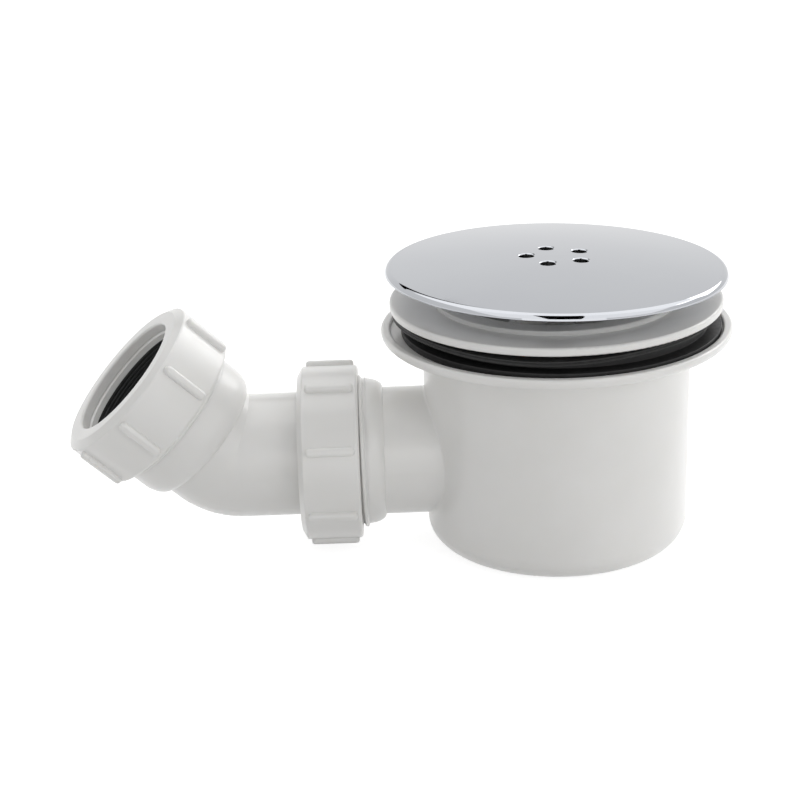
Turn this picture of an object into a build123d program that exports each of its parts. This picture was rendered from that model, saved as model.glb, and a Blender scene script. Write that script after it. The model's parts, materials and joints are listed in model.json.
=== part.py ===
# Shower trap for a 90 mm tray hole, with a chromed cover and a swivelling 45 degree outlet elbow.
# Millimetres, +Z up. The origin is the centre of the flat underside, and the outlet points to -X.

import os
from math import radians, sin, tan

from build123d import *

os.makedirs("parts", exist_ok=True)

# Turns, in degrees
full_turn = 360
quarter_turn = 90

# Bowl of the trap body
bowl_r = 45.8            # outside, under the flange
bowl_draft = 0.5         # how much slimmer the foot is
bowl_wall = 2.7          # at the top, where the flange's skirt screws in
bowl_corner = 8.0        # rounded edge of the foot
bowl_floor = 3.0

# Dished flange on the trap body
body_flange_w = 14.0     # beyond the bowl
body_flange_t = 2.2
lip_h = 1.5
lip_t = 2.0
lip_flat = 0.1           # left on top, between the lip's two rounded edges
lip_root = 0.5           # fillet between the lip and the dish
lip_corner = 2.6         # outside edge under the lip
flange_root = 2.5        # fillet between the bowl and its flange

# Loose cup in the bowl, which keeps the water standing round the dip tube
cup_gap = 9.1            # between the cup and the bowl
cup_wall = 2.0
cup_floor = 2.0
cup_seat = 1.0           # how deep it stands in the bowl's floor
cup_seat_fit = 0.3
cup_foot = 0.8           # rounded edge of the foot
cup_root = 2.0           # fillet round its floor
dip_side = 9.0           # between the cup and the dip tube
dip_gap = 7.0            # between the dip tube and the cup's floor
water_seal = 50.0
weir_head = 15.2         # from the cup's rim to the dish above

# Outlet stub, and the waste pipe that it leads to
pipe_r = 21.4            # waste pipe, and the elbow's tube, which has its size
tube_wall = 2.5
stub_wall = 3.3
stub_lift = 10.5         # from the foot to the underside of the stub
stub_len = 14.3          # from the bowl to the socket's shoulder
stub_root = 0.8          # fillet where the stub leaves the bowl

# Threaded sockets, the same on the body and the elbow
socket_fit = 0.2         # around the pipe or the spigot
socket_wall = 3.8        # at the plain neck
shoulder_len = 6.5
body_neck = 0.9          # plain neck between shoulder and thread
elbow_neck = 7.8
thread_h = 1.1
thread_len = 15.2
thread_lead = 0.8        # chamfer at both ends of the thread
spigot_depth = 20.0      # from the body's mouth to its stop
spigot_lead = 1.0
stop_gap = 0.5
pipe_depth = 24.0        # from the elbow's mouth to its stop

# Elbow
elbow_reach = 32.3       # from the body's mouth to the corner of the elbow
bend_angle = 45.0
bend_r = 13.6            # centre line
elbow_lean = 9.0         # turned from upright, towards -Y
elbow_shoulder_at = 11.1

# Cone seals and slip washers
cone_depth = 6.0
cone_flare = 3.2         # how much wider the mouth is than the socket
cone_fit = 0.1
cone_tip = 0.3           # rubber left at the thin end
seal_rim_t = 0.5
seal_rim_w = 0.8
seal_fit = 0.1
washer_t = 2.7
washer_fit = 0.3
washer_side_fit = 0.75
washer_lead = 0.8        # chamfer that guides the pipe in

# Compression nuts
nut_wall = 3.45
nut_gap = 1.0            # bare thread behind the nut
nut_lip_t = 3.5
nut_hole_fit = 0.7
nut_thread_fit = 0.25
nut_bevel_w = 3.0        # bevel round the open end, across the face
nut_bevel_len = 1.75     # and along the barrel
nut_edge = 0.6           # rounded edges of the bevel
nut_back_round = 1.2
nut_hole_round = 0.8
rib_count = 8
rib_w = 3.2
rib_h = 1.9
rib_front = 2.7          # from the nut's open end
rib_back = 1.3
rib_round = 1.5          # corners, seen from above
rib_edge = 1.1           # edges of the top
rib_taper = 2.0          # draft of the sides, in degrees
outlet_nut_turn = 21.5   # degrees that each nut is turned on its thread
elbow_nut_turn = 1.0

# Rubber washers each side of the tray
tray_gap = 0.8           # left between the two washers
lower_seal_land = 2.4    # outside the bowl's bore
lower_seal_w = 8.9
lower_seal_t = 4.6
lower_seal_edge = 1.4
lower_seal_slip = 2.1    # how far the loose washer lies off centre
lower_seal_towards = 315.0  # degrees from +X
upper_seal_fit = 1.2     # around the skirt
upper_seal_w = 11.2
upper_seal_t = 2.7
upper_seal_groove = 0.5

# Clamping flange on the tray
tray_flange_w = 13.8     # beyond the skirt
tray_flange_t = 2.9
tray_flange_edge = 0.9
dish_drop = 0.8          # from the rim to the throat
rim_w = 1.6              # flat top of the rim
skirt_fit = 0.3
skirt_t = 3.2
skirt_len = 28.2
key_lug_count = 4
key_lug_w = 5.0
key_lug_h = 1.6
key_lug_len = 10.0

# Insert that hangs in the flange
insert_rim_w = 1.9       # rim that lies on the flange's throat
insert_rim_t = 1.5
insert_rim_edge = 0.5
insert_wall = 1.8
insert_fit = 0.4
insert_len = 15.0        # straight wall under the rim
funnel_len = 8.0
bead_t = 1.2
bead_drop = 4.0          # from the rim to the upper bead
ring_r = 1.3             # section of the O-ring
ring_side_fit = 0.2
ring_fit = 0.05
spoke_count = 3
spoke_t = 2.0
spoke_h = 8.0
boss_r = 7.0
boss_rise = 0.4          # above the insert's rim
boss_len = 13.0
stem_r = 4.0
stem_fit = 0.15          # left round the leaning stem
stem_len = 10.0

# Cover, which stands loose in the insert and leans as far as its stem lets it
cover_overhang = 1.4     # beyond the clamping flange
cover_gap = 8.6          # from the clamping flange to the rim
cover_t = 1.8
cover_round = 2.1        # rolled rim
cover_rise = 3.3         # from the rim to the crown
cover_lean = 1.45        # degrees
cover_lean_towards = 29.0  # degrees from +X
hole_count = 5
hole_r = 2.5
hole_pitch_r = 10.0
hole_round = 0.8
hole_turn = 177.0        # degrees, which puts one hole towards the outlet
hub_r = 6.4

# Heights, from the floor up
cup_z = bowl_floor - cup_seat
dip_z = cup_z + cup_floor + dip_gap
weir_z = dip_z + water_seal
dish_z = weir_z + weir_head
lip_z = dish_z + lip_h
tray_flange_z = dish_z + lower_seal_t + tray_gap + upper_seal_t
rim_top_z = tray_flange_z + tray_flange_t
throat_z = rim_top_z - dish_drop
insert_top_z = throat_z + insert_rim_t
boss_z = insert_top_z + boss_rise
hub_z = boss_z + hub_r * sin(radians(cover_lean))

# Radii about the bowl's axis
bowl_bore_r = bowl_r - bowl_wall
cup_r = bowl_bore_r - cup_gap
dip_r = cup_r - cup_wall - dip_side
body_flange_r = bowl_r + body_flange_w
lip_r = body_flange_r - lip_t
skirt_r = bowl_bore_r - skirt_fit
throat_r = skirt_r - skirt_t
tray_flange_r = skirt_r + tray_flange_w
insert_rim_r = throat_r + insert_rim_w
insert_wall_r = throat_r - ring_fit - 2 * ring_r
lower_seal_bore_r = bowl_bore_r + lower_seal_land
upper_seal_bore_r = skirt_r + upper_seal_fit
upper_seal_r = upper_seal_bore_r + upper_seal_w
cover_r = tray_flange_r + cover_overhang
stem_bore_r = stem_r + stem_fit + stem_len * tan(radians(cover_lean))

# Radii about the outlet's and the elbow's axes
waterway_r = pipe_r - tube_wall
stub_r = waterway_r + stub_wall
socket_r = pipe_r + socket_fit
neck_r = socket_r + socket_wall
thread_r = neck_r + thread_h
cone_r = socket_r + cone_flare
nut_bore_r = thread_r + nut_thread_fit
nut_r = nut_bore_r + nut_wall
nut_hole_r = pipe_r + nut_hole_fit

# Places along those axes, those of a union from its socket's mouth
outlet_z = stub_lift + stub_r
body_mouth_at = bowl_r + stub_len + shoulder_len + body_neck + thread_len
bend_at = body_mouth_at + elbow_reach
elbow_mouth_at = elbow_shoulder_at + shoulder_len + elbow_neck + thread_len
nut_lip_at = seal_rim_t + washer_t
nut_face_at = nut_lip_at + nut_lip_t
nut_back_at = nut_gap - thread_len

# The outlet's axis, the elbow's axis and the mouths of the two sockets
outlet_dir = Vector(-1, 0, 0)
lean_dir = Vector(0, 0, 1).rotate(Axis.X, elbow_lean)
elbow_dir = outlet_dir.rotate(Axis((0, 0, 0), outlet_dir.cross(lean_dir)), bend_angle)
bend_corner = Vector(-bend_at, 0, outlet_z)
outlet_axis = Plane(origin=(0, 0, outlet_z), x_dir=(0, -1, 0), z_dir=outlet_dir)
elbow_axis = Plane(origin=bend_corner, x_dir=lean_dir.cross(outlet_dir), z_dir=elbow_dir)
body_mouth = outlet_axis.offset(body_mouth_at)
elbow_mouth = elbow_axis.offset(elbow_mouth_at)

# The loose pieces' seats: the lower washer's, off centre, and the leaning cover's
slip = Vector(lower_seal_slip, 0, 0).rotate(Axis.Z, lower_seal_towards)
washer_seat = Plane(origin=slip + Vector(0, 0, dish_z))
lean_axis = Axis((0, 0, 0), Vector(0, 1, 0).rotate(Axis.Z, cover_lean_towards))
cover_dir = Vector(0, 0, 1).rotate(lean_axis, cover_lean)
cover_seat = Plane(origin=(0, 0, hub_z), x_dir=(1, 0, 0), z_dir=cover_dir)


def half_section(seat):
    """Sketch plane through a seat's axis: x is the radius, y the distance along the axis."""
    return Plane(origin=seat.origin, x_dir=seat.x_dir, z_dir=-seat.y_dir)


def axis_of(seat):
    """The axis that a seat's pieces are turned about."""
    return Axis(seat.origin, seat.z_dir)


def corner(sketch, x, y):
    """The corner of a sketch nearest to a point."""
    return sketch.vertices().sort_by_distance((x, y))[0]


def threaded_socket(mouth, neck_len):
    """Outside of a compression socket, filled: rounded shoulder, neck and the crest of its thread."""
    thread_at = -thread_len
    neck_at = thread_at - neck_len
    with BuildPart() as socket:
        with BuildSketch(half_section(mouth)):
            with BuildLine():
                Polyline((0, 0), (0, neck_at - shoulder_len), (stub_r, neck_at - shoulder_len))
                EllipticalCenterArc(
                    (stub_r, neck_at),
                    neck_r - stub_r,
                    shoulder_len,
                    start_angle=full_turn - quarter_turn,
                    arc_size=quarter_turn,
                )
                Polyline(
                    (neck_r, neck_at),
                    (neck_r, thread_at),
                    (thread_r, thread_at + thread_lead),
                    (thread_r, -thread_lead),
                    (thread_r - thread_lead, 0),
                    (0, 0),
                )
            make_face()
        revolve(axis=axis_of(mouth))
    return socket.part


def socket_bore(mouth, depth):
    """Hole of a compression socket, with the cone that its seal is pressed into."""
    with BuildPart() as bore:
        with BuildSketch(half_section(mouth)):
            with BuildLine():
                Polyline(
                    (0, 0),
                    (0, -depth),
                    (socket_r, -depth),
                    (socket_r, -cone_depth),
                    (cone_r, 0),
                    close=True,
                )
            make_face()
        revolve(axis=axis_of(mouth))
    return bore.part


def cone_seal(mouth):
    """Rubber ring with a cone that goes into the socket and a rim that stays outside."""
    seal_bore_r = pipe_r + seal_fit
    tip_r = seal_bore_r + cone_tip
    tip_at = -cone_depth * (cone_r - cone_fit - tip_r) / cone_flare
    with BuildPart() as seal:
        with BuildSketch(half_section(mouth)):
            with BuildLine():
                Polyline(
                    (seal_bore_r, tip_at),
                    (tip_r, tip_at),
                    (cone_r - cone_fit, 0),
                    (cone_r + seal_rim_w, 0),
                    (cone_r + seal_rim_w, seal_rim_t),
                    (seal_bore_r, seal_rim_t),
                    close=True,
                )
            make_face()
        revolve(axis=axis_of(mouth))
    return seal.part


def slip_washer(mouth):
    """Flat plastic ring that lets the nut turn without dragging the seal."""
    with BuildPart() as washer:
        with BuildSketch(mouth.offset(seal_rim_t)):
            Circle(nut_bore_r - washer_side_fit)
            Circle(pipe_r + washer_fit, mode=Mode.SUBTRACT)
        extrude(amount=washer_t)
        outer_face = washer.faces().sort_by(axis_of(mouth))[-1]
        chamfer(outer_face.edges().sort_by(SortBy.RADIUS)[0], washer_lead)
    return washer.part


def compression_nut(mouth, turn):
    """Ribbed nut: threaded barrel, and a lip at the open end with a hole for the pipe."""
    with BuildPart() as nut:
        with BuildSketch(half_section(mouth)) as profile:
            with BuildLine():
                Polyline(
                    (nut_bore_r, nut_back_at),
                    (nut_r, nut_back_at),
                    (nut_r, nut_face_at - nut_bevel_len),
                    (nut_r - nut_bevel_w, nut_face_at),
                    (nut_hole_r, nut_face_at),
                    (nut_hole_r, nut_lip_at),
                    (nut_bore_r, nut_lip_at),
                    close=True,
                )
            make_face()
            fillet(corner(profile, nut_r, nut_face_at - nut_bevel_len), nut_edge)
            fillet(corner(profile, nut_r - nut_bevel_w, nut_face_at), nut_edge)
            fillet(corner(profile, nut_r, nut_back_at), nut_back_round)
            fillet(corner(profile, nut_hole_r, nut_face_at), nut_hole_round)
        revolve(axis=axis_of(mouth))

        # Grip ribs along the barrel, drafted and rounded like the mould's pockets
        rib_from = nut_back_at + rib_back
        rib_to = nut_face_at - rib_front
        rib_base_r = nut_r - nut_wall / 2
        for number in range(rib_count):
            rib_angle = turn + number * full_turn / rib_count
            outward = mouth.x_dir.rotate(axis_of(mouth), rib_angle)
            rib_seat = mouth.origin + mouth.z_dir * (rib_from + rib_to) / 2 + outward * rib_base_r
            with BuildSketch(Plane(origin=rib_seat, x_dir=mouth.z_dir, z_dir=outward)):
                RectangleRounded(rib_to - rib_from, rib_w, rib_round)
            extrude(amount=nut_r + rib_h - rib_base_r, taper=rib_taper)
            rib_top = nut.faces(Select.LAST).sort_by(Axis(mouth.origin, outward))[-1]
            fillet(rib_top.edges(), rib_edge)
    return nut.part


def elbow_run(radius, start):
    """A bent bar of one radius: straight run, tight bend and a second run to the elbow's mouth."""
    tangent = bend_r * tan(radians(bend_angle / 2))
    with BuildPart() as run:
        with BuildSketch(outlet_axis.offset(start)):
            Circle(radius)
        extrude(amount=bend_at - tangent - start)

        # The part of the circle outside the bend's own axis is turned about it
        bend_start = Plane(bend_corner - outlet_dir * tangent, x_dir=lean_dir, z_dir=outlet_dir)
        with BuildSketch(bend_start):
            Circle(radius)
            with Locations((bend_r, 0)):
                Rectangle(radius * 2, radius * 2, align=(Align.MIN, Align.CENTER), mode=Mode.SUBTRACT)
        bend_axis = Axis(bend_start.origin + lean_dir * bend_r, outlet_dir.cross(lean_dir))
        revolve(axis=bend_axis, revolution_arc=bend_angle)

        with BuildSketch(elbow_axis.offset(tangent)):
            Circle(radius)
        extrude(amount=elbow_mouth_at - tangent)
    return run.part


# Trap body: the outside first, then what is hollow
with BuildPart() as trap_body:
    foot_r = bowl_r - bowl_draft
    under_z = dish_z - body_flange_t
    lip_round = (lip_t - lip_flat) / 2
    with BuildSketch(Plane.XZ) as outside:
        with BuildLine():
            Polyline(
                (0, 0),
                (foot_r, 0),
                (bowl_r, under_z),
                (body_flange_r, under_z),
                (body_flange_r, lip_z),
                (lip_r, lip_z),
                (lip_r, dish_z),
                (0, dish_z),
                close=True,
            )
        make_face()
        fillet(corner(outside, foot_r, 0), bowl_corner)
        fillet(corner(outside, bowl_r, under_z), flange_root)
        fillet(corner(outside, body_flange_r, under_z), lip_corner)
        fillet(corner(outside, body_flange_r, lip_z), lip_round)
        fillet(corner(outside, lip_r, lip_z), lip_round)
        fillet(corner(outside, lip_r, dish_z), lip_root)
    revolve(axis=Axis.Z)

    # Outlet stub, blended into the bowl
    with BuildSketch(outlet_axis):
        Circle(stub_r)
    extrude(amount=bowl_r + stub_len + shoulder_len / 2)
    root_edges = trap_body.edges().filter_by(GeomType.BSPLINE)
    fillet(root_edges, stub_root)
    add(threaded_socket(body_mouth, body_neck))

    # Hollow bowl, with a seat for the cup in its floor
    with BuildSketch(Plane.XZ) as hollow:
        with BuildLine():
            Polyline(
                (0, cup_z),
                (cup_r + cup_seat_fit, cup_z),
                (cup_r + cup_seat_fit, bowl_floor),
                (bowl_bore_r, bowl_floor),
                (bowl_bore_r, lip_z),
                (0, lip_z),
                close=True,
            )
        make_face()
        fillet(corner(hollow, bowl_bore_r, bowl_floor), bowl_corner - bowl_floor)
    revolve(axis=Axis.Z, mode=Mode.SUBTRACT)

    # Waterway from the bowl to the socket
    with BuildSketch(outlet_axis):
        Circle(waterway_r)
    extrude(amount=body_mouth_at, mode=Mode.SUBTRACT)
    add(socket_bore(body_mouth, spigot_depth), mode=Mode.SUBTRACT)
trap_body.part.label = "trap_body"
export_step(trap_body.part, "parts/trap_body.step")

# Cup, which lifts out to be cleaned: its rim is the weir that the water runs over
with BuildPart() as water_cup:
    cup_floor_z = cup_z + cup_floor
    with BuildSketch(Plane.XZ) as cup_section:
        with BuildLine():
            Polyline(
                (0, cup_z),
                (cup_r, cup_z),
                (cup_r, weir_z),
                (cup_r - cup_wall, weir_z),
                (cup_r - cup_wall, cup_floor_z),
                (0, cup_floor_z),
                close=True,
            )
        make_face()
        fillet(corner(cup_section, cup_r, cup_z), cup_foot)
        fillet(corner(cup_section, cup_r - cup_wall, cup_floor_z), cup_root)
    revolve(axis=Axis.Z)
water_cup.part.label = "water_cup"
export_step(water_cup.part, "parts/water_cup.step")

# Lower seal, lying loose on the body's flange
with BuildPart() as lower_seal:
    with BuildSketch(washer_seat):
        Circle(lower_seal_bore_r + lower_seal_w)
        Circle(lower_seal_bore_r, mode=Mode.SUBTRACT)
    extrude(amount=lower_seal_t)
    outer_edges = lower_seal.edges().filter_by(GeomType.CIRCLE).group_by(SortBy.RADIUS)[-1]
    chamfer(outer_edges.sort_by(Axis.Z)[-1], lower_seal_edge)
lower_seal.part.label = "lower_seal"
export_step(lower_seal.part, "parts/lower_seal.step")

# Upper seal, against the underside of the clamping flange, with a groove round its edge
with BuildPart() as upper_seal:
    seal_z = tray_flange_z - upper_seal_t
    seal_mid = tray_flange_z - upper_seal_t / 2
    with BuildSketch(Plane.XZ):
        with BuildLine():
            Polyline(
                (upper_seal_bore_r, seal_z),
                (upper_seal_r, seal_z),
                (upper_seal_r, seal_mid - upper_seal_groove),
                (upper_seal_r - upper_seal_groove, seal_mid),
                (upper_seal_r, seal_mid + upper_seal_groove),
                (upper_seal_r, tray_flange_z),
                (upper_seal_bore_r, tray_flange_z),
                close=True,
            )
        make_face()
    revolve(axis=Axis.Z)
upper_seal.part.label = "upper_seal"
export_step(upper_seal.part, "parts/upper_seal.step")

# Clamping flange with its skirt and the lugs that a key turns
with BuildPart() as tray_flange:
    skirt_z = tray_flange_z - skirt_len
    with BuildSketch(Plane.XZ) as flange_section:
        with BuildLine():
            Polyline(
                (throat_r, skirt_z),
                (skirt_r, skirt_z),
                (skirt_r, tray_flange_z),
                (tray_flange_r, tray_flange_z),
                (tray_flange_r, rim_top_z),
                (tray_flange_r - rim_w, rim_top_z),
                (insert_rim_r, throat_z),
                (throat_r, throat_z),
                close=True,
            )
        make_face()
        fillet(corner(flange_section, tray_flange_r, tray_flange_z), tray_flange_edge)
        fillet(corner(flange_section, tray_flange_r, rim_top_z), tray_flange_edge)
    revolve(axis=Axis.Z)
    with BuildSketch(Plane.XY.offset(skirt_z)):
        with PolarLocations(throat_r + skirt_t / 2, key_lug_count):
            Rectangle(skirt_t / 2 + key_lug_h, key_lug_w, align=(Align.MAX, Align.CENTER))
    extrude(amount=key_lug_len)
tray_flange.part.label = "tray_flange"
export_step(tray_flange.part, "parts/tray_flange.step")

# Insert: rim, wall with two beads for the O-ring, funnel, dip tube and a spider for the cover's stem
with BuildPart() as insert:
    bead_r = throat_r - insert_fit
    inside_r = insert_wall_r - insert_wall
    upper_bead_z = throat_z - bead_drop
    lower_bead_z = upper_bead_z - bead_t - 2 * (ring_r + ring_side_fit)
    funnel_z = throat_z - insert_len
    with BuildSketch(Plane.XZ) as insert_section:
        with BuildLine():
            Polyline(
                (dip_r, dip_z),
                (dip_r, funnel_z - funnel_len),
                (insert_wall_r, funnel_z),
                (insert_wall_r, lower_bead_z - bead_t),
                (bead_r, lower_bead_z - bead_t),
                (bead_r, lower_bead_z),
                (insert_wall_r, lower_bead_z),
                (insert_wall_r, upper_bead_z - bead_t),
                (bead_r, upper_bead_z - bead_t),
                (bead_r, upper_bead_z),
                (insert_wall_r, upper_bead_z),
                (insert_wall_r, throat_z),
                (insert_rim_r, throat_z),
                (insert_rim_r, insert_top_z),
                (inside_r, insert_top_z),
                (inside_r, funnel_z),
                (dip_r - insert_wall, funnel_z - funnel_len),
                (dip_r - insert_wall, dip_z),
                close=True,
            )
        make_face()
        fillet(corner(insert_section, insert_rim_r, insert_top_z), insert_rim_edge)
    revolve(axis=Axis.Z)
    with BuildSketch(Plane.XY.offset(insert_top_z - spoke_h)):
        with PolarLocations(0, spoke_count):
            Rectangle(inside_r + insert_wall / 2, spoke_t, align=(Align.MIN, Align.CENTER))
    extrude(amount=spoke_h)
    with BuildSketch(Plane.XY.offset(boss_z)):
        Circle(boss_r)
    extrude(amount=-boss_len)
    with BuildSketch(Plane.XY.offset(boss_z)):
        Circle(stem_bore_r)
    extrude(amount=-boss_len, mode=Mode.SUBTRACT)
insert.part.label = "insert"
export_step(insert.part, "parts/insert.step")

# O-ring between the two beads
with BuildPart() as insert_ring:
    with BuildSketch(Plane.XZ):
        with Locations((insert_wall_r + ring_r, upper_bead_z - bead_t - ring_r - ring_side_fit)):
            Circle(ring_r)
    revolve(axis=Axis.Z)
insert_ring.part.label = "insert_ring"
export_step(insert_ring.part, "parts/insert_ring.step")

# Cover: shallow dome with a rolled rim, drain holes, and a stem that stands in the insert's boss
with BuildPart() as cover:
    rim_at = rim_top_z + cover_gap - hub_z
    edge_at = rim_at + cover_round
    crown_at = edge_at + cover_rise
    under_at = crown_at - cover_t
    edge_r = cover_r - cover_round
    dome_r = (edge_r**2 + cover_rise**2) / (2 * cover_rise)
    under_r = (edge_r**2 + (under_at - rim_at) ** 2) / (2 * (under_at - rim_at))
    with BuildSketch(half_section(cover_seat)):
        with BuildLine():
            RadiusArc((0, crown_at), (edge_r, edge_at), dome_r)
            RadiusArc((edge_r, edge_at), (cover_r, rim_at), cover_round)
            Line((cover_r, rim_at), (edge_r, rim_at))
            RadiusArc((edge_r, rim_at), (0, under_at), -under_r)
            Line((0, under_at), (0, crown_at))
        make_face()
    revolve(axis=axis_of(cover_seat))
    with BuildSketch(cover_seat.offset(crown_at)):
        with PolarLocations(hole_pitch_r, hole_count, start_angle=hole_turn):
            Circle(hole_r)
    extrude(amount=-2 * cover_t, mode=Mode.SUBTRACT)
    fillet(cover.edges(Select.LAST).group_by(axis_of(cover_seat))[-1], hole_round)
    with BuildSketch(cover_seat):
        Circle(hub_r)
    extrude(amount=crown_at - cover_t / 2)
    with BuildSketch(cover_seat):
        Circle(stem_r)
    extrude(amount=-stem_len)
cover.part.label = "cover"
export_step(cover.part, "parts/cover.step")

# Elbow: its spigot stands in the body's socket
with BuildPart() as elbow:
    spigot_from = body_mouth_at - spigot_depth + stop_gap
    add(elbow_run(pipe_r, spigot_from))
    add(threaded_socket(elbow_mouth, elbow_neck))
    add(elbow_run(waterway_r, spigot_from), mode=Mode.SUBTRACT)
    add(socket_bore(elbow_mouth, pipe_depth), mode=Mode.SUBTRACT)
    chamfer(elbow.edges().group_by(Axis.X)[-1].sort_by(SortBy.RADIUS)[-1], spigot_lead)
elbow.part.label = "elbow"
export_step(elbow.part, "parts/elbow.step")

# The two unions: a cone seal, a slip washer and a nut on each socket
for union, mouth, turn in (("outlet", body_mouth, outlet_nut_turn), ("elbow", elbow_mouth, elbow_nut_turn)):
    seal = cone_seal(mouth)
    seal.label = f"{union}_seal"
    export_step(seal, f"parts/{union}_seal.step")
    washer = slip_washer(mouth)
    washer.label = f"{union}_washer"
    export_step(washer, f"parts/{union}_washer.step")
    nut = compression_nut(mouth, turn)
    nut.label = f"{union}_nut"
    export_step(nut, f"parts/{union}_nut.step")
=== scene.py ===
# Looks of a shower trap: satin white mouldings, a bright chrome cover and black rubber seals.
# Metres, +Z up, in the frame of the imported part.

import json
import math

import bpy
import numpy as np
from mathutils import Matrix, Vector


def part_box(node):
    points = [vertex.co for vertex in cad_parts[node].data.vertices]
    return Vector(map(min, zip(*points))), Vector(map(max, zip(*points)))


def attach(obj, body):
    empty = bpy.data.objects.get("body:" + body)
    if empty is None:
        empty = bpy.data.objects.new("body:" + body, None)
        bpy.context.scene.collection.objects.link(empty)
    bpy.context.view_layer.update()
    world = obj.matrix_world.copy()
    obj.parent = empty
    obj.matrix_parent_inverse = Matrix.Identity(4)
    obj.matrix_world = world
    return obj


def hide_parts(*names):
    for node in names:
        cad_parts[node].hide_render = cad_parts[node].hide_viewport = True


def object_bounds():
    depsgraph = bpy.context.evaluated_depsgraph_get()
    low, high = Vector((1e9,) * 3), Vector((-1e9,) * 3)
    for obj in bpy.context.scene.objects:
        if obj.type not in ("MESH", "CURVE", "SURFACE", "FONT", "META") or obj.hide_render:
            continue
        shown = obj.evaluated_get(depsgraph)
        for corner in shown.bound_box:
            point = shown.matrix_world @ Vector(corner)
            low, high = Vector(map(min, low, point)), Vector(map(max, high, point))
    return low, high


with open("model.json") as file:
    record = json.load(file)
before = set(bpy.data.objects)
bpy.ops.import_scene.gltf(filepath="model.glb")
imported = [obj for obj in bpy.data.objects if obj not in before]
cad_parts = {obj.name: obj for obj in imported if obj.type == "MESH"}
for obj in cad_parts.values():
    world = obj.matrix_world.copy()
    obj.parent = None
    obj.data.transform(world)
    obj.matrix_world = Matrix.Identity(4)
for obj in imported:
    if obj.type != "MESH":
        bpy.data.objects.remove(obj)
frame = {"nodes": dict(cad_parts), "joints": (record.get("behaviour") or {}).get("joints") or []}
cad_low, cad_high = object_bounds()

MM = 0.001
FULL_TURN = 2 * math.pi
UP = Vector((0, 0, 1))
IN_PLAN = (1, 1, 0)
WHITE = (1, 1, 1, 1)

# Threaded sockets and their nuts, from the socket's mouth backwards
NECK_R = 25.4 * MM
MOUTH_R = 25.7 * MM
THREAD_R = 26.5 * MM
THREAD_LEN = 15.2 * MM
THREAD_PITCH = 2.8 * MM
THREAD_FROM = -17.0 * MM
THREAD_RUNOUT = 0.6 * MM
CREST_AT_TOP = -14.6 * MM
ROOT_SINK = 0.03 * MM
NUT_BORE_R = 26.75 * MM
NUT_CREST_R = 25.7 * MM
NUT_THREAD_FROM = -13.2 * MM
NUT_THREAD_TO = 1.9 * MM

# Thread of the clamping flange's skirt
SKIRT_R = 42.8 * MM
SKIRT_ROOT_R = 41.9 * MM
SKIRT_PITCH = 4.0 * MM
SKIRT_RUNOUT = 1.5 * MM

# A thread's tooth, as shares of its pitch and height
HALF_TOOTH = 0.5
TOOTH_ROOT = 0.22
TOOTH_FLANK = 0.5

# How finely threads and rings are meshed
THREAD_STEPS = 180
ROWS_PER_TURN = 14
ROLL_ROWS = 24
RING_STEPS = 240
CORNER_STEPS = 4
SHARP = math.radians(50)

# How near a point has to be to a surface to count as on it
NEAR = 0.02 * MM
NEAR_THREAD = 0.05 * MM

# Washer under the clamping flange, which hangs down a little at the front
UPPER_BORE_R = 44.0 * MM
UPPER_T = 1.7 * MM
UPPER_GROOVE = 0.4 * MM
UPPER_SAG = 1.8 * MM
UPPER_SAG_TOWARDS = math.radians(-100)
UPPER_SAG_POWER = 10
UPPER_SHIFT = Vector((-0.75, -0.65, 0)) * MM

# Washer on the body's flange
LOWER_BORE_R = 45.5 * MM
LOWER_STEP_UP = 2.3 * MM
LOWER_STEP_IN = 4.6 * MM
LOWER_STEP_RISE = 0.2 * MM

# Lip round the body's flange, wider inwards than the plain solid's
LIP_TOP_R = 58.8 * MM
LIP_ROOT_R = 57.25 * MM
LIP_WIDER = 1.2 * MM

# Cover: the leaning seat it stands in, from the top of the clamping flange, and its rolled rim
COVER_SEAT_UP = 1.26 * MM
COVER_LEAN = math.radians(1.45)
COVER_LEAN_TOWARDS = math.radians(29)
COVER_R = 58.0 * MM
ROLL_R = 2.1 * MM
ROLL_AT = 7.34 * MM

# Cone seals, from the socket's mouth, and the share of their ridges' pitch that the valleys take
CONE_BORE_R = 21.5 * MM
CONE_TIP_R = 21.8 * MM
CONE_TIP_AT = -5.43 * MM
CONE_MOUTH_R = 24.7 * MM
CONE_RIM_R = 25.6 * MM
CONE_RIM_T = 0.5 * MM
RIDGE_COUNT = 5
RIDGE_DEPTH = 0.35 * MM
VALLEY_SHARE = 0.5

# Small roundings of moulded rubber
SOFT_EDGE = 0.3 * MM
FINE_EDGE = 0.12 * MM
KEEN_EDGE = 0.06 * MM

# Noise in the materials: waves to the metre with their detail, and the stretch of its values that is used
NOISE_LOW = 0.3
NOISE_HIGH = 0.7
FLOW_MARKS = (45, 3)
SATIN_CLOUDS = (260, 4)
MOULDED_GRAIN = (1100, 2)
PLATE_CLOUDS = (30, 2)
POLISHING_HAZE = (120, 4)
DUSTY_BLOOM = (300, 5)
RUBBER_CLOUDS = (500, 4)
RUBBER_GRAIN = (2600, 4)

# White plastic: two shades, and the light that goes a little way in
PLASTIC_SHADES = ((0.815, 0.81, 0.79), (0.84, 0.835, 0.82))
PLASTIC_ROUGHNESS = (0.285, 0.35)
PLASTIC_IOR = 1.49
PLASTIC_GLOSS = 0.25
PLASTIC_GLOSS_ROUGHNESS = 0.12
PLASTIC_DEPTH_SHARE = 0.12
PLASTIC_DEPTH_TINT = (1.0, 0.9, 0.75)
PLASTIC_DEPTH = 1.2 * MM
PLASTIC_GRAIN_H = 0.012 * MM
PLASTIC_GRAIN_STRENGTH = 0.18

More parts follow.
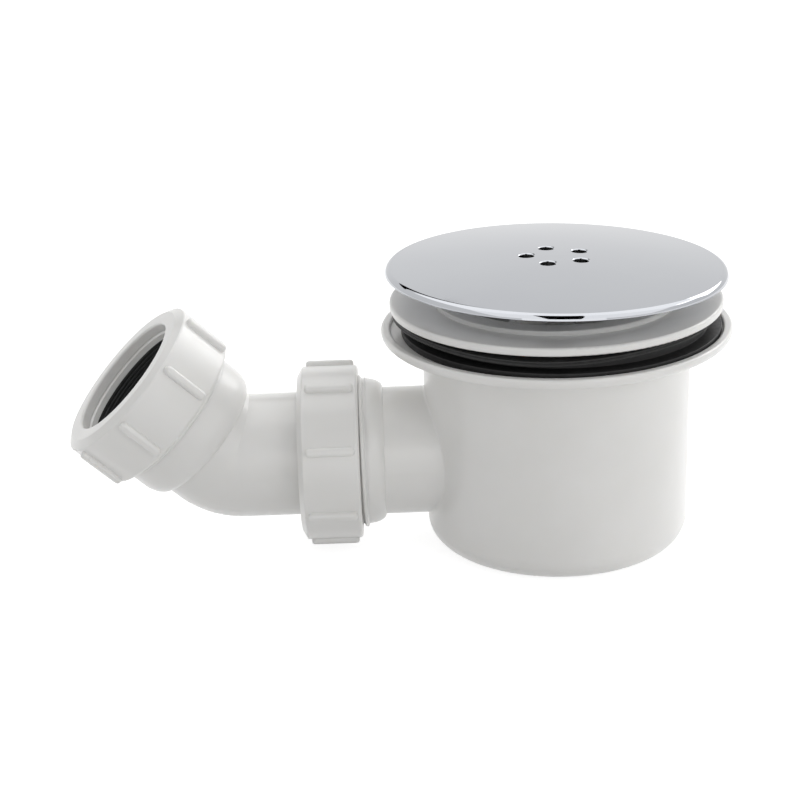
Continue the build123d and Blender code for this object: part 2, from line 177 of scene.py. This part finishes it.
# Chrome plate, and painted shade on the walls of the drain holes, which are steep and near the cover's
# middle
CHROME_SHADES = ((0.462, 0.474, 0.501), (0.476, 0.489, 0.514))
CHROME_ROUGHNESS = (0.03, 0.06)
# Near-black painted shade for the walls of the drain holes
PAINTED_HOLE_SHADE = (0.02, 0.02, 0.02, 1)
WALL_FACING_UP = 0.6
HOLES_WITHIN_R = 20 * MM

# Black rubber
RUBBER_SHADES = ((0.013, 0.013, 0.013), (0.02, 0.02, 0.02))
RUBBER_ROUGHNESS = (0.40, 0.54)
RUBBER_SHINE = 0.3
RUBBER_GRAIN_H = 0.03 * MM
RUBBER_GRAIN_STRENGTH = 0.3

# Camera: where it stands, how it is turned, and its lens and sensor in millimetres
CAMERA_AT = Vector((-0.0566, -0.6203, 0.2818))
CAMERA_TURN = math.radians(0.23)
CAMERA_PITCH = math.radians(20.4)
CAMERA_ROLL = math.radians(-2.02)
CAMERA_LENS = 85.9
SENSOR = 36.0

# What the lamps are turned to
LAMPS_AIM = Vector((0, 0, 0.05))

# Corners of the black flag that darkens the left of the cover, as (azimuth, elevation) in degrees
FLAG_CORNERS = ((-45, 27), (-20, 35), (-6, 37), (1, 30), (-3, 25.5), (-20, 25.5))
FLAG_DISTANCE = 1.4


# Meshes


def seat_of(name):
    """Matrix whose Z axis is a hinge's axis and whose origin is the hinge's place."""
    hinge = next(entry for entry in frame["joints"] if entry["name"] == name)
    axis = Vector(hinge["axis"]).normalized()
    turn = axis.to_track_quat("Z", "Y").to_matrix().to_4x4()
    return Matrix.Translation(Vector(hinge["pos_m"])) @ turn


def in_seat(points, seat):
    """Radius and distance along the axis of points, seen from a seat."""
    inverse = seat.inverted()
    local = points @ np.array(inverse.to_3x3()).T + np.array(inverse.translation)
    return np.hypot(local[:, 0], local[:, 1]), local[:, 2]


def top_angle(seat):
    """Angle about a seat's axis at which its top lies."""
    local = seat.to_3x3().inverted() @ UP
    return math.atan2(local.y, local.x)


def new_object(name, mesh, body):
    """A piece of the object with that mesh, riding on a body."""
    piece = bpy.data.objects.new(name, mesh)
    bpy.context.scene.collection.objects.link(piece)
    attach(piece, body)
    return piece


def smooth(mesh):
    """Shade a mesh smoothly."""
    mesh.polygons.foreach_set("use_smooth", [True] * len(mesh.polygons))


def grid_faces(rows, columns, start):
    """Quads of a grid of points that closes on itself round its columns."""
    row, column = np.meshgrid(np.arange(rows - 1), np.arange(columns), indexing="ij")
    after = (column + 1) % columns
    quads = np.stack(
        [
            row * columns + column,
            row * columns + after,
            (row + 1) * columns + after,
            (row + 1) * columns + column,
        ],
        axis=-1,
    )
    return (quads.reshape(-1, 4) + start).tolist()


def turn_angles():
    """Angles of the points round a thread or a rim, as one row."""
    return np.linspace(0, FULL_TURN, THREAD_STEPS, endpoint=False)[None, :]


def turned(radius, along, seat):
    """Points round a seat's axis, row by row, at these radii and distances along it."""
    angle = turn_angles()
    local = np.broadcast_arrays(radius * np.cos(angle), radius * np.sin(angle), along)
    rotation = np.array(seat.to_3x3())
    return np.stack(local, axis=-1).reshape(-1, 3) @ rotation.T + np.array(seat.translation)


def tooth(phase):
    """Height of a thread's tooth over one turn of it, from 0 at the root to 1 at the crest."""
    rise = 1 - np.abs(2 * (phase % 1) - 1)
    ramp = np.clip((rise - TOOTH_ROOT) / TOOTH_FLANK, 0, 1)
    return ramp * ramp * (3 - 2 * ramp)


def thread_surface(seat, start, end, pitch, root_r, crest_r, runout, phase):
    """Points of a right-hand screwed surface from start to end along a seat, fading out at both ends."""
    rows = int((end - start) / pitch * ROWS_PER_TURN) + 1
    along = np.linspace(start, end, rows)[:, None]
    fade = np.clip(np.minimum(along - start, end - along) / runout, 0, 1)
    height = tooth(along / pitch - turn_angles() / FULL_TURN + phase)
    radius = root_r + (crest_r - root_r) * height * fade
    return turned(radius, along, seat), rows


def resurfaced_copy(node, name, seat, on_old_surface, surface):
    """Copy of a node with some of its faces taken off and a finer surface in their place."""
    source = frame["nodes"][node].data
    points = np.array([vertex.co for vertex in source.vertices])
    radius, along = in_seat(points, seat)
    kept = []
    normals = []
    for face in source.polygons:
        corners = list(face.vertices)
        if on_old_surface(radius[corners], along[corners]):
            continue
        kept.append(corners)
        normals.extend(source.corner_normals[loop].vector.copy() for loop in face.loop_indices)
    added, rows = surface
    quads = grid_faces(rows, THREAD_STEPS, len(points))
    mesh = bpy.data.meshes.new(name)
    mesh.from_pydata(np.vstack([points, added]).tolist(), [], kept + quads)
    smooth(mesh)
    # A zero normal leaves a corner of the new surface to its smooth shading
    normals.extend(Vector((0, 0, 0)) for quad in quads for corner in quad)
    mesh.normals_split_custom_set(normals)
    mesh.validate()
    return mesh


def widen_lip(mesh, floor_z):
    """Move the inner side of the body's lip inwards, above the floor of its dish."""
    for vertex in mesh.vertices:
        radius = vertex.co.xy.length
        if vertex.co.z > floor_z - NEAR and LIP_ROOT_R < radius < LIP_TOP_R:
            vertex.co.xy *= (radius - LIP_WIDER) / radius


def rounded(corners):
    """Outline of (radius, along, rounding) corners with each corner rounded."""
    outline = []
    for number, (x, y, rounding) in enumerate(corners):
        here = Vector((x, y))
        before = (Vector(corners[number - 1][:2]) - here).normalized()
        after = (Vector(corners[(number + 1) % len(corners)][:2]) - here).normalized()
        reach = rounding / math.tan(before.angle(after) / 2)
        start = here + before * reach
        end = here + after * reach
        for step in range(CORNER_STEPS + 1):
            share = step / CORNER_STEPS
            outline.append((1 - share) ** 2 * start + 2 * share * (1 - share) * here + share**2 * end)
    return outline


def level(angle, radius):
    """A ring that lies flat."""
    return 0.0


def ring_mesh(name, outline, seat, droop=level):
    """Ring turned about a seat from a rounded outline, drooping by a function of angle and radius."""
    points = []
    for radius, along in outline:
        for step in range(RING_STEPS):
            angle = step / RING_STEPS * FULL_TURN
            place = Vector((radius * math.cos(angle), radius * math.sin(angle), along))
            points.append(seat @ (place + UP * droop(angle, radius)))
    count = len(points)
    faces = grid_faces(len(outline) + 1, RING_STEPS, 0)
    mesh = bpy.data.meshes.new(name)
    mesh.from_pydata(points, [], [[corner % count for corner in face] for face in faces])
    smooth(mesh)
    mesh.set_sharp_from_angle(angle=SHARP)
    return mesh


# Materials


def new_material(name):
    """A material with its nodes and its main shader."""
    material = bpy.data.materials.new(name)
    material.use_nodes = True
    tree = material.node_tree
    return material, tree, tree.nodes["Principled BSDF"]


def arithmetic(tree, operation, first, second):
    """Result of an operation on a value and another value or a plain number."""
    node = tree.nodes.new("ShaderNodeMath")
    node.operation = operation
    tree.links.new(first, node.inputs[0])
    if isinstance(second, float):
        node.inputs[1].default_value = second
    else:
        tree.links.new(second, node.inputs[1])
    return node.outputs[0]


def noise(tree, grain):
    """Noise that stays with the piece, from a grain's (waves to the metre, detail)."""
    place = tree.nodes.new("ShaderNodeTexCoord")
    texture = tree.nodes.new("ShaderNodeTexNoise")
    texture.inputs["Scale"].default_value, texture.inputs["Detail"].default_value = grain
    tree.links.new(place.outputs["Object"], texture.inputs["Vector"])
    return texture.outputs["Fac"]


def spread(tree, value, limits):
    """Noise brought to a range."""
    node = tree.nodes.new("ShaderNodeMapRange")
    node.inputs["From Min"].default_value = NOISE_LOW
    node.inputs["From Max"].default_value = NOISE_HIGH
    node.inputs["To Min"].default_value, node.inputs["To Max"].default_value = limits
    tree.links.new(value, node.inputs["Value"])
    return node.outputs["Result"]


def between(tree, value, shades):
    """Colour between two shades, by a noise."""
    ramp = tree.nodes.new("ShaderNodeValToRGB")
    for element, place, shade in zip(ramp.color_ramp.elements, (NOISE_LOW, NOISE_HIGH), shades):
        element.position = place
        element.color = (*shade, 1)
    tree.links.new(value, ramp.inputs["Fac"])
    return ramp.outputs["Color"]


def bump(tree, shader, height, distance, strength):
    """Relief on a shader."""
    node = tree.nodes.new("ShaderNodeBump")
    node.inputs["Distance"].default_value = distance
    node.inputs["Strength"].default_value = strength
    tree.links.new(height, node.inputs["Height"])
    tree.links.new(node.outputs["Normal"], shader.inputs["Normal"])


def white_plastic():
    """Satin polypropylene: warm white, faint flow marks, a fine moulded grain and a thin gloss."""
    material, tree, shader = new_material("white_plastic")
    colour = between(tree, noise(tree, FLOW_MARKS), PLASTIC_SHADES)
    tree.links.new(colour, shader.inputs["Base Color"])
    roughness = spread(tree, noise(tree, SATIN_CLOUDS), PLASTIC_ROUGHNESS)
    tree.links.new(roughness, shader.inputs["Roughness"])
    shader.inputs["IOR"].default_value = PLASTIC_IOR
    shader.inputs["Coat Weight"].default_value = PLASTIC_GLOSS
    shader.inputs["Coat Roughness"].default_value = PLASTIC_GLOSS_ROUGHNESS
    shader.inputs["Subsurface Weight"].default_value = PLASTIC_DEPTH_SHARE
    shader.inputs["Subsurface Radius"].default_value = PLASTIC_DEPTH_TINT
    shader.inputs["Subsurface Scale"].default_value = PLASTIC_DEPTH
    bump(tree, shader, noise(tree, MOULDED_GRAIN), PLASTIC_GRAIN_H, PLASTIC_GRAIN_STRENGTH)
    return material


def hole_wall_shade_mask(tree):
    """Mask for painted shade: 1 on the steep walls of the cover's drain holes, and 0 elsewhere."""
    place = tree.nodes.new("ShaderNodeTexCoord")
    facing = tree.nodes.new("ShaderNodeSeparateXYZ")
    tree.links.new(place.outputs["Normal"], facing.inputs["Vector"])
    steep = arithmetic(tree, "LESS_THAN", facing.outputs["Z"], WALL_FACING_UP)
    flat = tree.nodes.new("ShaderNodeVectorMath")
    flat.operation = "MULTIPLY"
    flat.inputs[1].default_value = IN_PLAN
    tree.links.new(place.outputs["Object"], flat.inputs[0])
    reach = tree.nodes.new("ShaderNodeVectorMath")
    reach.operation = "LENGTH"
    tree.links.new(flat.outputs["Vector"], reach.inputs[0])
    inside = arithmetic(tree, "LESS_THAN", reach.outputs["Value"], HOLES_WITHIN_R)
    return arithmetic(tree, "MULTIPLY", steep, inside)


def chrome():
    """Bright chrome plate with the faintest polishing haze, and painted shade on the walls of the drain
    holes.
    """
    material, tree, shader = new_material("chrome")
    plate = between(tree, noise(tree, PLATE_CLOUDS), CHROME_SHADES)
    colour = tree.nodes.new("ShaderNodeMix")
    colour.data_type = "RGBA"
    # Painted shade: the steep walls of the drain holes are coloured near black
    tree.links.new(hole_wall_shade_mask(tree), colour.inputs["Factor"])
    tree.links.new(plate, colour.inputs["A"])
    colour.inputs["B"].default_value = PAINTED_HOLE_SHADE
    tree.links.new(colour.outputs["Result"], shader.inputs["Base Color"])
    roughness = spread(tree, noise(tree, POLISHING_HAZE), CHROME_ROUGHNESS)
    tree.links.new(roughness, shader.inputs["Roughness"])
    shader.inputs["Metallic"].default_value = 1.0
    return material


def black_rubber():
    """Moulded rubber: near black, matt, with a dusty bloom and a fine grain."""
    material, tree, shader = new_material("black_rubber")
    colour = between(tree, noise(tree, DUSTY_BLOOM), RUBBER_SHADES)
    tree.links.new(colour, shader.inputs["Base Color"])
    roughness = spread(tree, noise(tree, RUBBER_CLOUDS), RUBBER_ROUGHNESS)
    tree.links.new(roughness, shader.inputs["Roughness"])
    shader.inputs["Specular IOR Level"].default_value = RUBBER_SHINE
    bump(tree, shader, noise(tree, RUBBER_GRAIN), RUBBER_GRAIN_H, RUBBER_GRAIN_STRENGTH)
    return material


# Screwed sockets, skirt and nuts in place of the plain cylinders


def on_socket_thread(radius, along):
    """True for a face on the crest or the chamfers of a socket's thread."""
    behind = along.min() > -THREAD_LEN - NEAR_THREAD
    ahead = along.max() < NEAR_THREAD
    return behind and ahead and radius.min() > NECK_R - NEAR_THREAD


def on_skirt(radius, along):
    """True for a face on the outside of the flange's skirt."""
    return radius.min() > SKIRT_R - NEAR and radius.max() < SKIRT_R + NEAR


def crest_phase(seat):
    """Phase that puts a crest where the thread starts at the top of a socket."""
    return HALF_TOOTH - CREST_AT_TOP / THREAD_PITCH + top_angle(seat) / FULL_TURN


def socket_thread(seat):
    """Screwed outside of a socket, from its neck to the edge of its mouth."""
    points, rows = thread_surface(
        seat,
        start=THREAD_FROM,
        end=0,
        pitch=THREAD_PITCH,
        root_r=NECK_R - ROOT_SINK,
        crest_r=THREAD_R,
        runout=THREAD_RUNOUT,
        phase=crest_phase(seat),
    )
    return np.vstack([points, turned(MOUTH_R, 0, seat)]), rows + 1


def nut_thread(name, seat, body):
    """Screwed ridge inside a nut, which runs in the socket's valleys."""
    ridge, rows = thread_surface(
        seat,
        start=NUT_THREAD_FROM,
        end=NUT_THREAD_TO,
        pitch=THREAD_PITCH,
        root_r=NUT_BORE_R + ROOT_SINK,
        crest_r=NUT_CREST_R,
        runout=THREAD_RUNOUT,
        phase=crest_phase(seat) + HALF_TOOTH,
    )
    faces = grid_faces(rows, THREAD_STEPS, 0)
    mesh = bpy.data.meshes.new(name)
    mesh.from_pydata(ridge.tolist(), [], [face[::-1] for face in faces])
    smooth(mesh)
    return new_object(name, mesh, body)


outlet_seat = seat_of("outlet_nut_turn")
elbow_seat = seat_of("elbow_nut_turn")
flange_seat = Matrix.Identity(4)

body_mesh = resurfaced_copy(
    "trap_body", "body_moulding", outlet_seat, on_socket_thread, socket_thread(outlet_seat)
)
widen_lip(body_mesh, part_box("lower_seal")[0].z)
body_moulding = new_object("body_moulding", body_mesh, "trap")
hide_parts("trap_body")

elbow_mesh = resurfaced_copy(
    "elbow", "elbow_moulding", elbow_seat, on_socket_thread, socket_thread(elbow_seat)
)
elbow_moulding = new_object("elbow_moulding", elbow_mesh, "swivel")
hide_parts("elbow")

upper_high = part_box("upper_seal")[1]
flange_low, flange_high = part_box("tray_flange")
# This thread is cut inwards, so it starts from the skirt's outside
skirt_surface = thread_surface(
    flange_seat,
    start=flange_low.z,
    end=upper_high.z,
    pitch=SKIRT_PITCH,
    root_r=SKIRT_R,
    crest_r=SKIRT_ROOT_R,
    runout=SKIRT_RUNOUT,
    phase=0,
)
flange_mesh = resurfaced_copy("tray_flange", "clamping_flange", flange_seat, on_skirt, skirt_surface)
clamping_flange = new_object("clamping_flange", flange_mesh, "flange")
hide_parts("tray_flange")

outlet_nut_thread = nut_thread("outlet_nut_thread", outlet_seat, "outlet_union")
elbow_nut_thread = nut_thread("elbow_nut_thread", elbow_seat, "elbow_union")


# Cover, with its rolled rim meshed finely enough for a clean reflection


def cover_seat():
    """Matrix whose Z axis is the leaning cover's axis."""
    lean = Matrix.Rotation(COVER_LEAN_TOWARDS, 4, "Z") @ Matrix.Rotation(COVER_LEAN, 4, "Y")
    return Matrix.Translation((0, 0, flange_high.z + COVER_SEAT_UP)) @ lean


def on_roll(radius, along):
    """True for a face on the cover's rolled rim."""
    outside = radius.min() > COVER_R - ROLL_R - NEAR
    above = along.min() > ROLL_AT - NEAR
    return outside and above and along.max() > ROLL_AT + NEAR


def rolled_rim(seat):
    """Quarter round of the cover's rim, from its lower edge up to the dome."""
    lift = np.linspace(0, FULL_TURN / 4, ROLL_ROWS)[:, None]
    radius = COVER_R - ROLL_R + ROLL_R * np.cos(lift)
    return turned(radius, ROLL_AT + ROLL_R * np.sin(lift), seat), ROLL_ROWS


leaning_seat = cover_seat()
cover_mesh = resurfaced_copy("cover", "chromed_cover", leaning_seat, on_roll, rolled_rim(leaning_seat))
chromed_cover = new_object("chromed_cover", cover_mesh, "flange")
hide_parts("cover")


# Rubber rings

upper_r = upper_high.x


def upper_droop(angle, radius):
    """How far the loose upper washer hangs from the flange."""
    sag = ((1 + math.cos(angle - UPPER_SAG_TOWARDS)) / 2) ** UPPER_SAG_POWER
    reach = (radius - UPPER_BORE_R) / (upper_r - UPPER_BORE_R)
    return -UPPER_SAG * sag * reach


upper_bottom = upper_high.z - UPPER_T
upper_mid = upper_high.z - UPPER_T / 2
upper_outline = rounded(
    [
        (UPPER_BORE_R, upper_bottom, SOFT_EDGE),
        (upper_r, upper_bottom, SOFT_EDGE),
        (upper_r, upper_mid - UPPER_GROOVE, FINE_EDGE),
        (upper_r - UPPER_GROOVE, upper_mid, FINE_EDGE),
        (upper_r, upper_mid + UPPER_GROOVE, FINE_EDGE),
        (upper_r, upper_high.z, SOFT_EDGE),
        (UPPER_BORE_R, upper_high.z, SOFT_EDGE),
    ]
)
upper_mesh = ring_mesh("tray_washer", upper_outline, Matrix.Translation(UPPER_SHIFT), upper_droop)
tray_washer = new_object("tray_washer", upper_mesh, "flange_seal")
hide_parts("upper_seal")

lower_low, lower_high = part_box("lower_seal")
lower_r = (lower_high.x - lower_low.x) / 2
lower_t = lower_high.z - lower_low.z
lower_mid = (lower_low + lower_high) / 2
lower_outline = rounded(
    [
        (LOWER_BORE_R, 0, SOFT_EDGE),
        (lower_r, 0, SOFT_EDGE),
        (lower_r, LOWER_STEP_UP, SOFT_EDGE),
        (lower_r - LOWER_STEP_IN, LOWER_STEP_UP + LOWER_STEP_RISE, SOFT_EDGE),
        (lower_r - LOWER_STEP_IN, lower_t, SOFT_EDGE),
        (LOWER_BORE_R, lower_t, SOFT_EDGE),
    ]
)
lower_seat = Matrix.Translation((lower_mid.x, lower_mid.y, lower_low.z))
lower_mesh = ring_mesh("body_washer", lower_outline, lower_seat)
body_washer = new_object("body_washer", lower_mesh, "trap")
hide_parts("lower_seal")


def cone_outline():
    """Outline of a cone seal: a cone, a rim, and ridges round the bore that grip the pipe."""
    corners = [
        (CONE_BORE_R, CONE_TIP_AT, KEEN_EDGE),
        (CONE_TIP_R, CONE_TIP_AT, KEEN_EDGE),
        (CONE_MOUTH_R, 0, FINE_EDGE),
        (CONE_RIM_R, 0, FINE_EDGE),
        (CONE_RIM_R, CONE_RIM_T, FINE_EDGE),
        (CONE_BORE_R, CONE_RIM_T, FINE_EDGE),
    ]
    pitch = (CONE_RIM_T - CONE_TIP_AT) / RIDGE_COUNT
    half_valley = pitch * VALLEY_SHARE / 2
    for number in range(1, RIDGE_COUNT):
        valley_at = CONE_RIM_T - number * pitch
        corners.append((CONE_BORE_R, valley_at + half_valley, KEEN_EDGE))
        corners.append((CONE_BORE_R + RIDGE_DEPTH, valley_at, KEEN_EDGE))
        corners.append((CONE_BORE_R, valley_at - half_valley, KEEN_EDGE))
    return rounded(corners)


def cone_seal(name, seat, body, node):
    """Cone seal with its ridged bore."""
    piece = new_object(name, ring_mesh(name, cone_outline(), seat), body)
    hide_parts(node)
    return piece


outlet_cone = cone_seal("outlet_cone_seal", outlet_seat, "trap", "outlet_seal")
elbow_cone = cone_seal("elbow_cone_seal", elbow_seat, "swivel", "elbow_seal")


# Finishes

finishes = {
    "white_plastic": white_plastic(),
    "chrome": chrome(),
    "black_rubber": black_rubber(),
}
for node in frame["nodes"].values():
    finish = finishes[node.data.materials[0].name.split(".")[0]]
    node.data.materials.clear()
    node.data.materials.append(finish)
for piece in (body_moulding, elbow_moulding, clamping_flange, outlet_nut_thread, elbow_nut_thread):
    piece.data.materials.append(finishes["white_plastic"])
chromed_cover.data.materials.append(finishes["chrome"])
for piece in (tray_washer, body_washer, outlet_cone, elbow_cone):
    piece.data.materials.append(finishes["black_rubber"])


# Stage: floor, world, lamps and the cards that only the gloss sees


def background_rays(tree):
    """1 for the rays that see the background, straight or in a reflection, and 0 for the light."""
    path = tree.nodes.new("ShaderNodeLightPath")
    seen = path.outputs["Is Camera Ray"]
    for ray in ("Is Glossy Ray", "Is Transmission Ray"):
        seen = arithmetic(tree, "MAXIMUM", seen, path.outputs[ray])
    return seen


def make_world(sky):
    """White where it is seen, a plain sky level where it lights."""
    world = bpy.data.worlds.new("studio")
    bpy.context.scene.world = world
    world.use_nodes = True
    tree = world.node_tree
    background = tree.nodes["Background"]
    background.inputs["Color"].default_value = WHITE
    strength = tree.nodes.new("ShaderNodeMapRange")
    strength.inputs["To Min"].default_value = sky
    strength.inputs["To Max"].default_value = 1.0
    tree.links.new(background_rays(tree), strength.inputs["Value"])
    tree.links.new(strength.outputs["Result"], background.inputs["Strength"])


def make_floor(half, drop, lit, seen_lit, seen_glow):
    """Pale floor that stays white to the camera and still takes the shadow."""
    mesh = bpy.data.meshes.new("floor")
    mesh.from_pydata(
        [(-half, -half, -drop), (half, -half, -drop), (half, half, -drop), (-half, half, -drop)],
        [],
        [(0, 1, 2, 3)],
    )
    floor = bpy.data.objects.new("floor", mesh)
    bpy.context.scene.collection.objects.link(floor)
    material, tree, shader = new_material("floor")
    tree.nodes.remove(shader)
    seen = background_rays(tree)
    diffuse = tree.nodes.new("ShaderNodeBsdfDiffuse")
    tone = tree.nodes.new("ShaderNodeMapRange")
    tone.inputs["To Min"].default_value = lit
    tone.inputs["To Max"].default_value = seen_lit
    tree.links.new(seen, tone.inputs["Value"])
    tree.links.new(tone.outputs["Result"], diffuse.inputs["Color"])
    glow = tree.nodes.new("ShaderNodeEmission")
    tree.links.new(arithmetic(tree, "MULTIPLY", seen, seen_glow), glow.inputs["Strength"])
    both = tree.nodes.new("ShaderNodeAddShader")
    tree.links.new(diffuse.outputs[0], both.inputs[0])
    tree.links.new(glow.outputs[0], both.inputs[1])
    tree.links.new(both.outputs[0], tree.nodes["Material Output"].inputs["Surface"])
    mesh.materials.append(material)


def lamp(name, at, size, watts):
    """Soft rectangular lamp that looks at the middle of the object and doesn't show in reflections."""
    data = bpy.data.lights.new(name, "AREA")
    data.shape = "RECTANGLE"
    data.size, data.size_y = size
    data.energy = watts
    light = bpy.data.objects.new(name, data)
    bpy.context.scene.collection.objects.link(light)
    light.location = at
    light.rotation_euler = (LAMPS_AIM - Vector(at)).to_track_quat("-Z", "Y").to_euler()
    light.visible_glossy = False
    light.visible_camera = False


def card(name, corners, strength):
    """Card that shows only in reflections: white where it shines, black at strength 0."""
    mesh = bpy.data.meshes.new(name)
    mesh.from_pydata(corners, [], [tuple(range(len(corners)))])
    board = bpy.data.objects.new(name, mesh)
    bpy.context.scene.collection.objects.link(board)
    material, tree, shader = new_material(name)
    tree.nodes.remove(shader)
    glow = tree.nodes.new("ShaderNodeEmission")
    glow.inputs["Strength"].default_value = strength
    tree.links.new(glow.outputs[0], tree.nodes["Material Output"].inputs["Surface"])
    mesh.materials.append(material)
    board.visible_camera = False
    board.visible_diffuse = False
    board.visible_shadow = False
    board.visible_transmission = False


def screen(x, from_edge, to_edge):
    """Corners of a card over a stretch of x, from one edge to the other, each given as (y, z)."""
    left, right = x
    return [(left, *from_edge), (right, *from_edge), (right, *to_edge), (left, *to_edge)]


def towards(azimuth, elevation, distance):
    """Point seen from the cover in a direction: azimuth 0 is +Y and 90 is +X, in degrees."""
    turn = math.radians(azimuth)
    lift = math.radians(elevation)
    ahead = math.cos(lift) * distance
    return Vector((ahead * math.sin(turn), ahead * math.cos(turn), math.sin(lift) * distance + cad_high.z))


def window(azimuth, elevation, distance):
    """Corners of a card seen from the cover between two azimuths and two elevations."""
    left, right = azimuth
    low, high = elevation
    corners = ((left, low), (right, low), (right, high), (left, high))
    return [towards(*corner, distance) for corner in corners]


make_world(sky=0.53)
make_floor(half=8.0, drop=0.1 * MM, lit=0.80, seen_lit=0.45, seen_glow=0.82)
lamp("right_back", at=(1.1, 1.2, 0.7), size=(0.8, 0.9), watts=9.0)
lamp("back", at=(0.0, 1.7, 0.5), size=(1.4, 0.7), watts=5.0)
lamp("overhead", at=(0.1, 0.6, 1.2), size=(1.6, 1.0), watts=3.8)
lamp("right", at=(1.6, -0.19, 0.6), size=(0.3, 0.9), watts=3.5)
lamp("left", at=(-1.6, -0.2, 0.6), size=(0.6, 0.9), watts=1.2)
lamp("front_right", at=(1.2, -1.3, 0.6), size=(0.8, 0.9), watts=4.1)
card("overhead_card", screen(x=(-0.9, 1.6), from_edge=(1.1, 1.1), to_edge=(-0.23, 1.1)), strength=1.7)
card("front_screen", screen(x=(-0.9, 1.6), from_edge=(-1.02, 0.36), to_edge=(-0.23, 1.07)), strength=1.5)
card("camera_shadow", screen(x=(-0.16, 0.19), from_edge=(-1.0, 0.36), to_edge=(-0.22, 1.05)), strength=0.0)
card("front_card", window(azimuth=(155, 205), elevation=(-14, 14), distance=0.4), strength=1.6)
card("right_card", window(azimuth=(68, 88), elevation=(30, 37), distance=1.2), strength=3.0)
card("left_flag", [towards(*corner, FLAG_DISTANCE) for corner in FLAG_CORNERS], strength=0.0)
card("key_card", window(azimuth=(30, 66), elevation=(18, 36), distance=1.25), strength=3.8)


# Camera


def make_camera():
    """Camera at the photograph's place, looking slightly down and rolled a little."""
    data = bpy.data.cameras.new("camera")
    data.lens = CAMERA_LENS
    data.sensor_width = SENSOR
    camera = bpy.data.objects.new("camera", data)
    bpy.context.scene.collection.objects.link(camera)
    ahead = Vector((math.sin(CAMERA_TURN), math.cos(CAMERA_TURN), 0))
    forward = ahead * math.cos(CAMERA_PITCH) - UP * math.sin(CAMERA_PITCH)
    right = forward.cross(UP).normalized()
    above = right.cross(forward)
    rolled_right = right * math.cos(CAMERA_ROLL) + above * math.sin(CAMERA_ROLL)
    rolled_up = above * math.cos(CAMERA_ROLL) - right * math.sin(CAMERA_ROLL)
    turn = Matrix((rolled_right, rolled_up, -forward)).transposed().to_4x4()
    camera.matrix_world = Matrix.Translation(CAMERA_AT) @ turn
    bpy.context.scene.camera = camera


make_camera()
bpy.context.scene.view_settings.view_transform = "Standard"
